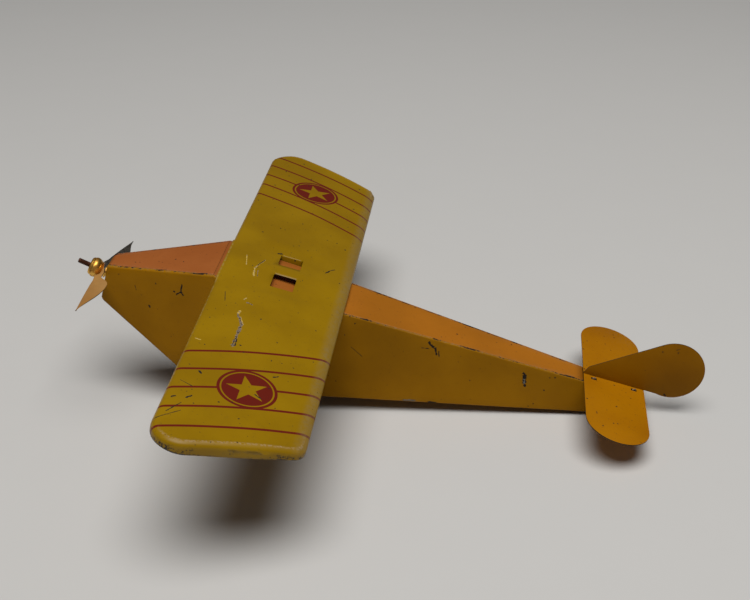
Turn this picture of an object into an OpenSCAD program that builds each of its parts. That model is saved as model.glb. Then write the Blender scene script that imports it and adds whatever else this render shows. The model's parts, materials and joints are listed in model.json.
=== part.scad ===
// Pressed-steel toy airplane: high wing, kite-shaped body, disc wheels and a free-spinning propeller.
// Built level (wing plane horizontal, leading edge at x = 0, nose towards -X), then set down on its
// two wheels and its tail skid, so that the floor is z = 0 and the box is centred on x = y = 0.

/* [Stance] */
// Nose-up angle of the airplane when it stands on its wheels and tail, degrees
nose_up = 14.7; // [12:0.1:16]
// Height of the wing's leading edge above the floor
wing_height = 143.4; // [143:0.1:144.5]

/* [Sheet] */
// Thickness of the pressed sheet steel
sheet = 0.9; // [0.7:0.1:1.1]
// Width of the turned-in flange along the side shells' edges
flange_w = 3; // [2.6:0.1:3.2]

/* [Wing] */
// Wing span, tip to tip
wing_span = 558; // [520:1:600]
// Wing chord
wing_chord = 118.7; // [114:0.1:122]
// Angle of the tips, which run in towards the trailing edge, degrees
tip_sweep = 20; // [10:1:24]
// Plan radius of the leading corner of the tip
lead_corner_r = 25; // [18:1:30]
// Plan radius of the trailing corner of the tip
trail_corner_r = 13; // [10:1:18]
// Rise of the cambered skin at mid chord
camber = 3.1; // [2:0.1:4]
// Droop of each half wing, degrees
droop = 2.2; // [1:0.1:3]
// Depth of the turned-down rim below the leading edge
rim_depth = 8; // [7:0.1:10]
// Radius of the rolled leading and trailing edges
edge_roll = 4.5; // [3:0.1:5]
// Fore and aft length of each window over the body
window_len = 21.2; // [18:0.1:23]
// Width of each window
window_w = 20.7; // [16:0.1:21]
// Distance from the leading edge to the windows
window_x = 48; // [40:1:55]
// Distance from the centreline to the hinged edge of each window's tab
tab_y = 30.3; // [28:0.1:30.5]

/* [Body] */
// Length of the nose ahead of the leading edge
nose_len = 103; // [95:0.1:108]
// Half-width of the flat nose
nose_half_w = 13.25; // [12:0.05:15]
// Half-width of the body at its widest
body_half_w = 38.3; // [37.8:0.1:39]
// Half-width of the tail end
tail_half_w = 8.8; // [8:0.1:10]
// Depth of the keel corner below the wing plane
keel_depth = 123.6; // [121:0.1:124]
// Distance of the keel corner behind the leading edge
keel_x = 12; // [8:1:16]
// Distance of the tail end behind the leading edge
tail_x = 408; // [400:1:412]

/* [Tail] */
// Fore and aft length of the tailplane
tailplane_chord = 58.7; // [56:0.1:61]
// Span of the tailplane
tailplane_span = 200.6; // [180:0.2:210]
// Radius of the round rudder part of the fin
fin_r = 28.9; // [27:0.1:30]

/* [Propeller] */
// Upward tilt of the propeller shaft against the wing plane, degrees
shaft_tilt = 9; // [6:0.5:10]
// Shaft and axle radius
rod_r = 2.4; // [2.2:0.05:2.6]
// Propeller tip radius
prop_r = 102; // [90:1:105]
// Blade pitch, measured from the propeller disc, degrees
blade_pitch = 60; // [40:1:62]
// Turn of the propeller at rest, degrees up from level
prop_turn = 9; // [0:1:30]
// Hub barrel length
hub_len = 13.8; // [12:0.1:15]
// Hub barrel radius at its middle
hub_r = 7.6; // [7:0.1:8.5]

/* [Wheels] */
// Outside radius of the tyres
wheel_r = 30; // [29:0.5:31]
// Tyre width
tyre_w = 12; // [11:0.5:12.5]
// Radial clearance of a running fit
run_clear = 0.05; // [0.02:0.01:0.09]

/* [Hidden] */
$fn = 48;

// Paint and metal
mustard = [0.60, 0.46, 0.05];
olive = [0.50, 0.40, 0.08];
orange = [0.80, 0.42, 0.25];
sun_yellow = [0.90, 0.68, 0.10];
brass = [0.80, 0.60, 0.18];
bare_steel = [0.55, 0.55, 0.56];
rust = [0.38, 0.24, 0.17];
tan_tin = [0.85, 0.68, 0.45];
black_rubber = [0.08, 0.08, 0.08];
wheel_red = [0.50, 0.10, 0.08];

// Side view of the body: top and bottom lines as [x, z], nose first
nose_x = -nose_len;
knee = [-3, -2.9];
nose_top_z = -37.5;
nose_bottom_z = -73.8;
tail_seat_x = tail_x - tailplane_chord;
tail_seat_z = -17;
tail_bottom_z = -39.5;
top_line = [[nose_x, nose_top_z], knee, [tail_seat_x, tail_seat_z], [tail_x, tail_seat_z]];
bottom_line = [[nose_x, nose_bottom_z], [keel_x, -keel_depth], [tail_x, tail_bottom_z]];

// Plan view of one side as [x, half-width], with a flat land for the axle
land_front = 3;
land_back = 22;
plan_line = [[nose_x, nose_half_w], [land_front, body_half_w], [land_back, body_half_w],
             [tail_x, tail_half_w]];

// Camber is measured over this length, from the leading edge
camber_chord = 115;
tab_depth = 11.5;
clinch_w = 4;
slot_gap = 0.3;

// Tail pieces
fin_centre = [tail_x + 18, 12.1];
fin_lug_len = 6;
fin_lugs = [tail_seat_x + 6.7, tail_x - 12];
side_lugs = [tail_seat_x + 8.7, tail_x - 11];
side_lug_y = 4.6;
lug_w = 3;
lug_rise = 1.6;

// Propeller shaft stations, measured forward along the shaft from the nose plate
shaft_z = -52;
bush_front = 3.6;
bush_flange_r = 6;
bush_r = 4.4;
prop_plane = 5.5;
blade_gauge = 0.9;
blade_rake = 1.5;
hub_rear = prop_plane + blade_gauge;
stud_front = 30;
stud_back = -29;
bracket_plate = -22;
bracket_gauge = 1.2;
bracket_half = 8;

// Axle stations, measured out from the centreline
axle_ground_x = -17;
eyelet_r = 3.4;
eyelet_flange_r = 6;
eyelet_face = body_half_w + 1;
washer_gauge = 0.8;
washer_gap = 0.3;
wheel_in = eyelet_face + washer_gauge + 2 * washer_gap;
wheel_tube_len = tyre_w + 2.4;
wheel_mid = wheel_in + wheel_tube_len / 2;
wheel_out = wheel_in + wheel_tube_len;
cap_y = wheel_out + washer_gauge + 2 * washer_gap;
cap_len = 4.6;
tube_r = 4.2;
tyre_depth = 8;
rim_r = wheel_r - tyre_depth;

// The level airplane set down on the floor
fin_back_x = fin_centre[0] * cos(nose_up) + fin_centre[1] * sin(nose_up) + fin_r;
stud_tip = [nose_x - stud_front * cos(shaft_tilt), shaft_z + stud_front * sin(shaft_tilt)];
stud_front_x = stud_tip[0] * cos(nose_up) + stud_tip[1] * sin(nose_up)
    - rod_r * sin(shaft_tilt + nose_up);
row_x = -(fin_back_x + stud_front_x) / 2;
axle_drop = wing_height - wheel_r;
axle_x = axle_ground_x * cos(nose_up) + axle_drop * sin(nose_up);
axle_z = axle_ground_x * sin(nose_up) - axle_drop * cos(nose_up);
far = 500;

function line_z(line, x, i = 0) =
    i >= len(line) - 2 || x <= line[i + 1][0]
        ? line[i][1] + (x - line[i][0]) * (line[i + 1][1] - line[i][1]) / (line[i + 1][0] - line[i][0])
        : line_z(line, x, i + 1);
// Side-view point of the level airplane, after it is set down on the floor
function grounded(p) = [row_x + p[0] * cos(nose_up) + p[1] * sin(nose_up),
                        wing_height - p[0] * sin(nose_up) + p[1] * cos(nose_up)];
function lowered(line, d) = [for (p = line) [p[0], p[1] - d]];
function reversed(line) = [for (i = [len(line) - 1:-1:0]) line[i]];
function arc(centre, r, from, to, steps) =
    [for (i = [0:steps]) centre + r * [cos(from + (to - from) * i / steps),
                                       sin(from + (to - from) * i / steps)]];

// Moves level geometry to its place above the floor
module stand() {
    translate([row_x, 0, wing_height]) rotate([0, nose_up, 0]) children();
}

// Gives both sides of the airplane the same piece
module both_sides() {
    children();
    mirror([0, 1, 0]) children();
}

// Extrudes a side-view outline across the body, from y0 to y1
module across(y0, y1) {
    translate([0, y1, 0]) rotate([90, 0, 0]) linear_extrude(y1 - y0) children();
}

// Extrudes a plan outline over the body's whole height
module upright() {
    translate([0, 0, -keel_depth - 10]) linear_extrude(keel_depth + 30) children();
}

// ---- Body ----

// A strip of the starboard side in plan, from depth d0 to depth d1 inside the outer face
module plan_strip(d0, d1) {
    upright() polygon(concat(lowered(plan_line, d0), reversed(lowered(plan_line, d1))));
}

// Everything between the two sides in plan, at depth d inside their outer faces
module plan_fill(d) {
    both_sides() upright()
        polygon(concat([[nose_x, -1]], lowered(plan_line, d), [[tail_x, -1]]));
}

// A band of sheet under the top line, or over the bottom line, from depth d0 to d1
module top_band(d0, d1) {
    across(-body_half_w, body_half_w)
        polygon(concat(lowered(top_line, d0), reversed(lowered(top_line, d1))));
}

module bottom_band(d0, d1) {
    across(-body_half_w, body_half_w)
        polygon(concat(lowered(bottom_line, -d0), reversed(lowered(bottom_line, -d1))));
}

// Side-view outline of the body, grown by d above the top line
module side_outline(d = 0) {
    polygon(concat(lowered(top_line, -d), reversed(bottom_line)));
}

module axle_hole(r) {
    translate([axle_x, 0, axle_z]) rotate([90, 0, 0]) cylinder(r = r, h = 2 * far, center = true);
}

// Starboard side shell: pressed sheet with a flange turned in along the top and the bottom
module side_shell() {
    difference() {
        union() {
            intersection() {
                plan_strip(0, sheet);
                across(0, body_half_w + 1) side_outline();
            }
            intersection() {
                plan_strip(0, flange_w);
                top_band(0, sheet);
            }
            intersection() {
                plan_strip(0, flange_w);
                bottom_band(0, sheet);
            }
        }
        axle_hole(eyelet_r);
    }
    // Lugs that hold the tailplane
    for (x = side_lugs)
        translate([x, side_lug_y, tail_seat_z - sheet]) {
            cube([lug_w, line_half_w(x + lug_w) - side_lug_y - sheet / 2, sheet]);
            cube([lug_w, sheet, sheet + lug_rise]);
        }
}

function line_half_w(x) = line_z(plan_line, x);

module starboard_side() {
    color(mustard) stand() side_shell();
}

module port_side() {
    color(mustard) stand() mirror([0, 1, 0]) side_shell();
}

// Top decks lie under the side flanges
module deck(x0, x1) {
    intersection() {
        plan_fill(sheet + 0.05);
        top_band(sheet, 2 * sheet);
        translate([x0, -far, -far]) cube([x1 - x0, 2 * far, 2 * far]);
    }
}

module nose_deck() {
    color(orange) stand() deck(nose_x + sheet, knee[0] - 0.1);
}

module main_deck() {
    color(orange) stand() difference() {
        deck(knee[0], tail_seat_x + 4);
        both_sides()
            translate([window_x - slot_gap, tab_y - slot_gap, -far / 2])
                cube([window_len + 2 * slot_gap, sheet + 2 * slot_gap, far]);
    }
}

// One bent plate closes the underside between the side shells
module belly_plate() {
    color(mustard) stand() intersection() {
        plan_fill(sheet + 0.05);
        bottom_band(sheet, 2 * sheet);
        translate([nose_x + sheet, -far, -far]) cube([tail_x - nose_x - 2 * sheet, 2 * far, 2 * far]);
    }
}

// A shallow pan, open to one side, that closes an end of the body
module end_pan(x0, x1, wall_x) {
    intersection() {
        difference() {
            plan_fill(sheet + 0.05);
            difference() {
                plan_fill(2 * sheet + 0.05);
                translate([wall_x, -far, -far]) cube([sheet, 2 * far, 2 * far]);
            }
        }
        across(-body_half_w, body_half_w)
            polygon(concat(lowered(top_line, 2 * sheet), reversed(lowered(bottom_line, -2 * sheet))));
        translate([x0, -far, -far]) cube([x1 - x0, 2 * far, 2 * far]);
    }
}

module nose_plate() {
    color(mustard) stand() difference() {
        end_pan(nose_x, nose_x + 7, nose_x);
        on_shaft() translate([0, 0, -20]) cylinder(r = bush_r, h = 40);
    }
}

module tail_cap() {
    color(mustard) stand() end_pan(tail_x - 6, tail_x, tail_x - sheet);
}

// ---- Wing ----

function skin_z(x) = camber * (1 - pow(2 * x / camber_chord - 1, 2));

// Chordwise outline of the wing, drawn in by d, with both edges rolled down
function chord_outline(d, bottom) =
    let (front = [edge_roll, skin_z(edge_roll) - edge_roll],
         back_x = wing_chord - edge_roll,
         back = [back_x, skin_z(back_x) - edge_roll],
         steps = 12)
    concat([[d, bottom]],
        arc(front, edge_roll - d, 180, 90, 4),
        [for (i = [1:steps - 1])
            let (x = edge_roll + i * (back_x - edge_roll) / steps) [x, skin_z(x) - d]],
        arc(back, edge_roll - d, 90, 0, 4),
        [[wing_chord - d, bottom]]);

// Plan outline of the starboard half wing, drawn in by d
function half_plan(d) =
    let (half = wing_span / 2,
         lead = [lead_corner_r, half - lead_corner_r],
         tip_y = lead[1] + lead_corner_r * (tan(tip_sweep) + 1 / cos(tip_sweep)),
         trail_x = wing_chord - trail_corner_r,
         trail = [trail_x, tip_y - trail_x * tan(tip_sweep) - trail_corner_r / cos(tip_sweep)])
    concat([[d, -1]],
        arc(lead, lead_corner_r - d, 180, 90 - tip_sweep, 8),
        arc(trail, trail_corner_r - d, 90 - tip_sweep, 0, 6),
        [[wing_chord - d, -1]]);

module half_wing_solid(d, bottom) {
    rotate([-droop, 0, 0]) intersection() {
        across(-1, wing_span) polygon(chord_outline(d, bottom));
        translate([0, 0, -far / 2]) linear_extrude(far) polygon(half_plan(d));
    }
}

// Tab bent down from the outer edge of a window, through the deck, and clinched under it
module wing_tab() {
    translate([window_x, tab_y, -tab_depth]) cube([window_len, sheet, tab_depth + 1]);
    translate([window_x, tab_y - clinch_w, -tab_depth]) cube([window_len, clinch_w + sheet, sheet]);
}

module wing_pan() {
    color(olive) stand() {
        difference() {
            both_sides() half_wing_solid(0, -rim_depth);
            both_sides() half_wing_solid(sheet, -rim_depth - 5);
            both_sides() translate([window_x, tab_y - window_w, -far / 2])
                cube([window_len, window_w, far]);
            // The rim is cut away where the wing sits over the body
            intersection() {
                across(-body_half_w - 1, body_half_w + 1) side_outline(0.2);
                plan_fill(-0.3);
            }
        }
        both_sides() wing_tab();
    }
}

// ---- Tail ----

module tailplane() {
    round_r = tailplane_chord / 2;
    color(sun_yellow) stand() difference() {
        translate([tail_seat_x + round_r, 0, tail_seat_z]) linear_extrude(sheet)
            polygon(concat(arc([0, tailplane_span / 2 - round_r], round_r, 0, 180, 24),
                           arc([0, round_r - tailplane_span / 2], round_r, 180, 360, 24)));
        for (x = fin_lugs)
            translate([x - 0.2, -sheet / 2 - 0.1, -far / 2]) cube([fin_lug_len + 0.4, sheet + 0.2, far]);
        both_sides() for (x = side_lugs)
            translate([x - 0.2, side_lug_y - 0.2, -far / 2]) cube([lug_w + 0.4, sheet + 0.4, far]);
    }
}

// Fin and round rudder in one sheet, standing on the tailplane with lugs through it
module fin() {
    slope = 37.3;
    base_z = tail_seat_z + sheet;
    front_rise = 2.5;
    nick_x = tail_seat_x + 2.8;
    crest = fin_centre + fin_r * [-sin(slope), cos(slope)];
    color(mustard) stand() {
        across(-sheet / 2, sheet / 2) {
            translate(fin_centre) circle(r = fin_r, $fn = 96);
            polygon([[tail_seat_x, base_z], [tail_seat_x, base_z + front_rise],
                     [nick_x, crest[1] - (crest[0] - nick_x) * tan(slope)],
                     crest, fin_centre, [fin_centre[0] - 10, base_z], [tail_x, base_z]]);
        }
        for (x = fin_lugs) translate([x, -sheet / 2, tail_seat_z - sheet])
            cube([fin_lug_len, sheet, 2 * sheet]);
        for (x = fin_lugs) translate([x, -sheet / 2, tail_seat_z - 2 * sheet])
            cube([fin_lug_len, 4, sheet]);
    }
}

// Bent steel strip under the tail, with a flat foot on the floor
module tail_skid() {
    gauge = 1.2;
    half_w = 5;
    top_x = 352;
    bend_x = 376;
    foot_len = 30;
    toe = 3;
    body_end = grounded([bend_x, line_z(bottom_line, bend_x)]);
    foot_end = body_end[0] + foot_len;
    color(bare_steel) across(-half_w, half_w)
        polygon([grounded([top_x, line_z(bottom_line, top_x)]),
                 grounded([top_x, line_z(bottom_line, top_x) - gauge]),
                 grounded([bend_x, line_z(bottom_line, bend_x) - gauge]),
                 [body_end[0] + toe, 0], [foot_end, 0], [foot_end, gauge],
                 [body_end[0] + toe + gauge / 2, gauge], body_end]);
}

// ---- Propeller ----

// Local +Z runs forward along the shaft and local +X points up
module on_shaft() {
    translate([nose_x, 0, shaft_z]) rotate([0, shaft_tilt - 90, 0]) children();
}

module ring(r_out, r_in, h) {
    difference() {
        cylinder(r = r_out, h = h);
        translate([0, 0, -1]) cylinder(r = r_in, h = h + 2);
    }
}

module nose_bush() {
    color(brass) stand() on_shaft() difference() {
        union() {
            translate([0, 0, -5]) cylinder(r = bush_r, h = 5 + bush_front);
            translate([0, 0, bush_front - 1.2]) cylinder(r = bush_flange_r, h = 1.2);
        }
        translate([0, 0, -6]) cylinder(r = rod_r + run_clear, h = 12);
    }
}

// Strap inside the nose that carries the back of the shaft
module shaft_bracket() {
    color(bare_steel) stand() intersection() {
        on_shaft() difference() {
            union() {
                translate([-bracket_half, -bracket_half, bracket_plate])
                    cube([2 * bracket_half, 2 * bracket_half, bracket_gauge]);
                for (side = [-1, 1]) translate([-bracket_half, side * bracket_half - bracket_gauge / 2,
                                                bracket_plate])
                    cube([2 * bracket_half, bracket_gauge, 30]);
            }
            translate([0, 0, bracket_plate - 1]) cylinder(r = rod_r + run_clear, h = 3);
        }
        translate([nose_x + sheet, -far / 2, -far / 2]) cube([far, far, far]);
    }
}

module prop_stud() {
    color(rust) stand() on_shaft() translate([0, 0, stud_back])
        cylinder(r = rod_r, h = stud_front - stud_back);
}

module prop_washer() {
    color(bare_steel) stand() on_shaft() translate([0, 0, bush_front + washer_gap])
        ring(5, rod_r, prop_plane - bush_front - washer_gap);
}

// Blade outline as [radius, chord]: straight in front, full at the back, pointed at the tip
function blade_outline(r0) =
    [[r0, -8], [prop_r, 0], [0.88 * prop_r, 2.6], [0.76 * prop_r, 5.8], [0.6 * prop_r, 10],
     [0.46 * prop_r, 11.6], [0.35 * prop_r, 9.6], [r0, 4.5]];

module blade() {
    root = 8;
    full = 27;
    skin = 0.05;
    rotate([0, blade_rake, 0]) {
        // The twisted root ends just inside the leaf, a little thinner than it
        rotate([90, 0, 90]) translate([0, 0, root])
            linear_extrude(full - root, twist = blade_pitch, slices = 8, $fn = 12)
                translate([-6, skin]) square([10, blade_gauge - 2 * skin]);
        rotate([-blade_pitch, 0, 0]) linear_extrude(blade_gauge)
            polygon(blade_outline(full - 2 * skin));
    }
}

module prop_blades() {
    color(tan_tin) stand() on_shaft() translate([0, 0, prop_plane]) {
        for (turn = [0, 180]) rotate([0, 0, prop_turn - 90 + turn]) blade();
        difference() {
            rotate([0, 0, prop_turn - 90]) translate([-9, -6, 0]) cube([18, 12, blade_gauge]);
            translate([0, 0, -1]) cylinder(r = rod_r, h = 3);
        }
    }
}

// Barrel hub threaded on the stud
module prop_hub() {
    end_r = 5.2;
    mid = hub_len / 2;
    bulge_r = (mid * mid + pow(hub_r - end_r, 2)) / (2 * (hub_r - end_r));
    half_angle = asin(mid / bulge_r);
    color(brass) stand() on_shaft() translate([0, 0, hub_rear]) rotate_extrude()
        polygon(concat([[rod_r, 0]],
                       arc([hub_r - bulge_r, mid], bulge_r, -half_angle, half_angle, 8),
                       [[rod_r, hub_len]]));
}

module stud_washer() {
    color(bare_steel) stand() on_shaft() translate([0, 0, bracket_plate - washer_gap - washer_gauge])
        ring(5, rod_r, washer_gauge);
}

module stud_nut() {
    nut_h = 4;
    color(bare_steel) stand() on_shaft()
        translate([0, 0, bracket_plate - washer_gap - washer_gauge - nut_h]) difference() {
            cylinder(r = 4.6, h = nut_h, $fn = 6);
            translate([0, 0, -1]) cylinder(r = rod_r, h = nut_h + 2);
        }
}

// ---- Axle and wheels ----

// Local +Z runs out to starboard along the axle
module on_axle() {
    stand() translate([axle_x, 0, axle_z]) rotate([-90, 0, 0]) children();
}

// The same piece on both ends of the axle
module both_ends() {
    on_axle() {
        children();
        mirror([0, 0, 1]) children();
    }
}

module axle() {
    color(bare_steel) on_axle()
        cylinder(r = rod_r, h = 2 * (cap_y + cap_len - 1.2), center = true);
}

module axle_eyelets() {
    color(brass) both_ends() {
        translate([0, 0, body_half_w - 4]) ring(eyelet_r, rod_r, 4.5);
        translate([0, 0, body_half_w]) ring(eyelet_flange_r, rod_r, 1);
    }
}

module axle_washers() {
    color(bare_steel) both_ends() {
        translate([0, 0, eyelet_face + washer_gap]) ring(5.5, rod_r, washer_gauge);
        translate([0, 0, wheel_out + washer_gap]) ring(5.5, rod_r, washer_gauge);
    }
}

// Domed push-on caps at the axle ends
module axle_caps() {
    cap_r = 4.8;
    color(bare_steel) both_ends() translate([0, 0, cap_y]) difference() {
        rotate_extrude() polygon(concat([[0, 0], [cap_r, 0]],
            [for (a = [0:15:90]) [cap_r * cos(a), 1 + (cap_len - 1) * sin(a)]]));
        translate([0, 0, -1]) cylinder(r = rod_r, h = cap_len - 0.2);
    }
}

module wheel_tube() {
    translate([0, 0, wheel_in]) ring(tube_r, rod_r + run_clear, wheel_tube_len);
}

// One dished half of a wheel, as [radius, height above the wheel's middle]
module disc_half() {
    g = sheet;
    rotate_extrude($fn = 96) polygon([
        [tube_r, 5.4], [8, 5.4], [11, 3.2], [17, 3.2], [rim_r - 2, 4.6], [rim_r, 4.6], [rim_r, 0.05],
        [rim_r - g, 0.05], [rim_r - g, 4.6 - g], [rim_r - 2, 4.6 - g], [17, 3.2 - g],
        [11, 3.2 - g], [8, 5.4 - g], [tube_r, 5.4 - g]]);
}

module outer_disc() {
    translate([0, 0, wheel_mid]) disc_half();
}

module inner_disc() {
    translate([0, 0, wheel_mid]) mirror([0, 0, 1]) disc_half();
}

module tyre() {
    half = tyre_w / 2;
    side_r = 3.5;
    translate([0, 0, wheel_mid]) rotate_extrude($fn = 96)
        polygon(concat([[rim_r, -4.6], [rim_r + 1, -half + 0.6]],
            arc([wheel_r - side_r, -half + side_r], side_r, -90, 0, 6),
            arc([wheel_r - side_r, half - side_r], side_r, 0, 90, 6),
            [[rim_r + 1, half - 0.6], [rim_r, 4.6]]));
}

module starboard() {
    on_axle() children();
}

module port() {
    on_axle() mirror([0, 0, 1]) children();
}

module starboard_outer_disc() {
    color(wheel_red) starboard() outer_disc();
}

module starboard_inner_disc() {
    color(wheel_red) starboard() inner_disc();
}

module starboard_wheel_tube() {
    color(bare_steel) starboard() wheel_tube();
}

module starboard_tyre() {
    color(black_rubber) starboard() tyre();
}

module port_outer_disc() {
    color(wheel_red) port() outer_disc();
}

module port_inner_disc() {
    color(wheel_red) port() inner_disc();
}

module port_wheel_tube() {
    color(bare_steel) port() wheel_tube();
}

module port_tyre() {
    color(black_rubber) port() tyre();
}

port_side();
starboard_side();
nose_deck();
main_deck();
belly_plate();
nose_plate();
nose_bush();
shaft_bracket();
wing_pan();
tailplane();
fin();
tail_cap();
tail_skid();
axle();
axle_eyelets();
axle_washers();
axle_caps();
prop_stud();
prop_washer();
prop_blades();
prop_hub();
stud_washer();
stud_nut();
port_outer_disc();
port_inner_disc();
port_wheel_tube();
port_tyre();
starboard_outer_disc();
starboard_inner_disc();
starboard_wheel_tube();
starboard_tyre();
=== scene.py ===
import json
import math

import bmesh
import bpy
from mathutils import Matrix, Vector, noise
from mathutils.geometry import delaunay_2d_cdt


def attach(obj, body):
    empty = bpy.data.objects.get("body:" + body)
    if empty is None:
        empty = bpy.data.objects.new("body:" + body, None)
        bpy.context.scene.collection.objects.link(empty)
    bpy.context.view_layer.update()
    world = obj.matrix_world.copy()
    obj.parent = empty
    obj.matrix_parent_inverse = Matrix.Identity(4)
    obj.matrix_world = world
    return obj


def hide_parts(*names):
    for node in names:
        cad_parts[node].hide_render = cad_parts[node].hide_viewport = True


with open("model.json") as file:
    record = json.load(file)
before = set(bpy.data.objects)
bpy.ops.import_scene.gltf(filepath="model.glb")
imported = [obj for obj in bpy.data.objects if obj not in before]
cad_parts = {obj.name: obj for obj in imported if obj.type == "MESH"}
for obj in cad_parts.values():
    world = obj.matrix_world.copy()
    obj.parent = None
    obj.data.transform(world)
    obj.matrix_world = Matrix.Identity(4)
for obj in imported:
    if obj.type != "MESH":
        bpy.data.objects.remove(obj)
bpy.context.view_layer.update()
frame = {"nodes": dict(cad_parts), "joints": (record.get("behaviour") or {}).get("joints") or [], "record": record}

MM = 0.001

# ---- The level airplane: wing plane horizontal, leading edge at x = 0, nose towards -X, in mm ----

NOSE_UP = math.radians(14.7)
NOSE_LEN = 103
SHAFT_Z = -52
SHEET = 0.9

joints = {j["name"]: j for j in frame["joints"]}
LEVEL_X = Vector((math.cos(NOSE_UP), 0, -math.sin(NOSE_UP)))
LEVEL_Z = Vector((math.sin(NOSE_UP), 0, math.cos(NOSE_UP)))
SHAFT_AT = Vector(joints["propeller_spin"]["pos_m"])
ORIGIN = SHAFT_AT + LEVEL_X * NOSE_LEN * MM - LEVEL_Z * SHAFT_Z * MM


def from_level(p):
    """A point of the level airplane, in mm, placed in the frame, in metres."""
    return ORIGIN + (LEVEL_X * p[0] + Vector((0, p[1], 0)) + LEVEL_Z * p[2]) * MM


SHAFT_FORWARD = Vector(joints["propeller_spin"]["axis"])
SHAFT_UP = SHAFT_FORWARD.cross(Vector((0, 1, 0)))
if SHAFT_UP.z < 0:
    SHAFT_UP.negate()


def from_shaft(p):
    """A point given as up, to starboard and forward along the propeller shaft, in mm."""
    return SHAFT_AT + (SHAFT_UP * p[0] + Vector((0, p[1], 0)) + SHAFT_FORWARD * p[2]) * MM


def line_z(line, x):
    """Height on a line of [x, z] points, carried on straight past its ends."""
    for (x0, z0), (x1, z1) in zip(line, line[1:]):
        if x <= x1 or (x1, z1) == tuple(line[-1]):
            return z0 + (x - x0) * (z1 - z0) / (x1 - x0)


TAIL_X = 408
TAIL_SEAT_X = 349.3
TAIL_SEAT_Z = -17
TOP_LINE = [(-NOSE_LEN, -37.5), (-3, -2.9), (TAIL_SEAT_X, TAIL_SEAT_Z), (TAIL_X, TAIL_SEAT_Z)]
BOTTOM_LINE = [(-NOSE_LEN, -73.8), (12, -123.6), (TAIL_X, -39.5)]
PLAN_LINE = [(-NOSE_LEN, 13.25), (3, 38.3), (22, 38.3), (TAIL_X, 8.8)]

# ---- Mesh helpers ----

PLATE_EDGE = 0.2


def smooth_step(t):
    t = min(max(t, 0.0), 1.0)
    return t * t * (3 - 2 * t)


def arc(centre, radius, start, end, steps):
    """Points on an arc, angles in degrees."""
    angles = [math.radians(start + (end - start) * i / steps) for i in range(steps + 1)]
    return [(centre[0] + radius * math.cos(a), centre[1] + radius * math.sin(a)) for a in angles]


def make_piece(name, points, faces, body, materials, replaces=(), place=from_level, crease=40,
               face_material=None, closed=False, layer=None):
    """A mesh object that rides on a body. points are in mm, in the space that place reads.
    layer is the name and the values of one number stored at each point, for the material."""
    mesh = bpy.data.meshes.new(name)
    mesh.from_pydata([place(p) for p in points], [], faces)
    mesh.validate()
    if closed:
        work = bmesh.new()
        work.from_mesh(mesh)
        bmesh.ops.recalc_face_normals(work, faces=work.faces)
        work.to_mesh(mesh)
        work.free()
    if layer:
        mesh.attributes.new(layer[0], "FLOAT", "POINT").data.foreach_set("value", layer[1])
    obj = bpy.data.objects.new(name, mesh)
    bpy.context.scene.collection.objects.link(obj)
    for material in materials:
        mesh.materials.append(material)
    if face_material:
        for polygon in mesh.polygons:
            polygon.material_index = face_material(polygon)
    mesh.shade_smooth()
    mesh.set_sharp_from_angle(angle=math.radians(crease))
    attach(obj, body)
    if replaces:
        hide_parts(*replaces)
    return obj


def thicken(obj, thickness=SHEET, back=0, rim=0):
    """Gives a sheet its thickness, on the side away from its normals. back and rim pick other
    materials for the new side and for the cut edge."""
    solid = obj.modifiers.new("thickness", "SOLIDIFY")
    solid.thickness = thickness * MM
    solid.offset = -1
    solid.use_even_offset = True
    solid.material_offset = back
    solid.material_offset_rim = rim


def soften(obj, width):
    """Rounds the sharp edges."""
    bevel = obj.modifiers.new("edges", "BEVEL")
    bevel.width = width * MM
    bevel.segments = 2
    bevel.limit_method = "ANGLE"
    bevel.angle_limit = math.radians(50)


def grid_faces(rows, columns, closed=False, flip=False):
    """Quads between rows of points that all have the same number of columns."""
    faces = []
    for i in range(rows - 1):
        for j in range(columns if closed else columns - 1):
            k = (j + 1) % columns
            quad = (i * columns + j, i * columns + k, (i + 1) * columns + k, (i + 1) * columns + j)
            faces.append(quad[::-1] if flip else quad)
    return faces


def fill_outline(outline, holes=(), inner=()):
    """Triangles between an outline and its holes. Returns points and faces, counter-clockwise."""
    loops = [outline, *holes]
    points = [Vector(p) for loop in loops for p in loop]
    edges = []
    for loop in loops:
        start = len(edges)
        edges += [(start + i, start + (i + 1) % len(loop)) for i in range(len(loop))]
    points += [Vector(p) for p in inner]
    out, _, faces, *_ = delaunay_2d_cdt(points, edges, [], 0, 1e-5)
    kept = []
    for face in faces:
        centre = sum((out[i] for i in face), Vector((0, 0))) / len(face)
        if inside(centre, outline) and not any(inside(centre, hole) for hole in holes):
            a, b, c = (out[i] for i in face[:3])
            turn = (b - a).cross(c - a)
            kept.append(tuple(face) if turn > 0 else tuple(face[::-1]))
    return out, kept


def inside(p, loop):
    """True if a point is inside a closed outline."""
    hit = False
    for (x0, y0), (x1, y1) in zip(loop, [*loop[1:], loop[0]]):
        if (y0 > p[1]) != (y1 > p[1]) and p[0] < x0 + (p[1] - y0) * (x1 - x0) / (y1 - y0):
            hit = not hit
    return hit


def make_plate(name, outline, holes, to_space, material, replaces):
    """A flat sheet piece of the airframe cut to an outline, with thickness, bare cut edges and
    softened corners."""
    points, faces = fill_outline(outline, holes)
    obj = make_piece(name, [to_space(p) for p in points], faces, "airframe",
                     [material, cut_edge], replaces)
    thicken(obj, rim=1)
    soften(obj, PLATE_EDGE)


def lathe(name, profile, place, body, material, replaces, steps=72):
    """Turns a closed profile of (radius, height) points about a local axis."""
    points = []
    for i in range(steps):
        a = 2 * math.pi * i / steps
        points += [(r * math.cos(a), r * math.sin(a), h) for r, h in profile]
    count = len(profile)
    faces = []
    for i in range(steps):
        k = (i + 1) % steps
        for j in range(count):
            n = (j + 1) % count
            faces.append((i * count + j, k * count + j, k * count + n, i * count + n))
    make_piece(name, points, faces, body, [material], replaces, place, crease=35,
               closed=True)


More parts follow.
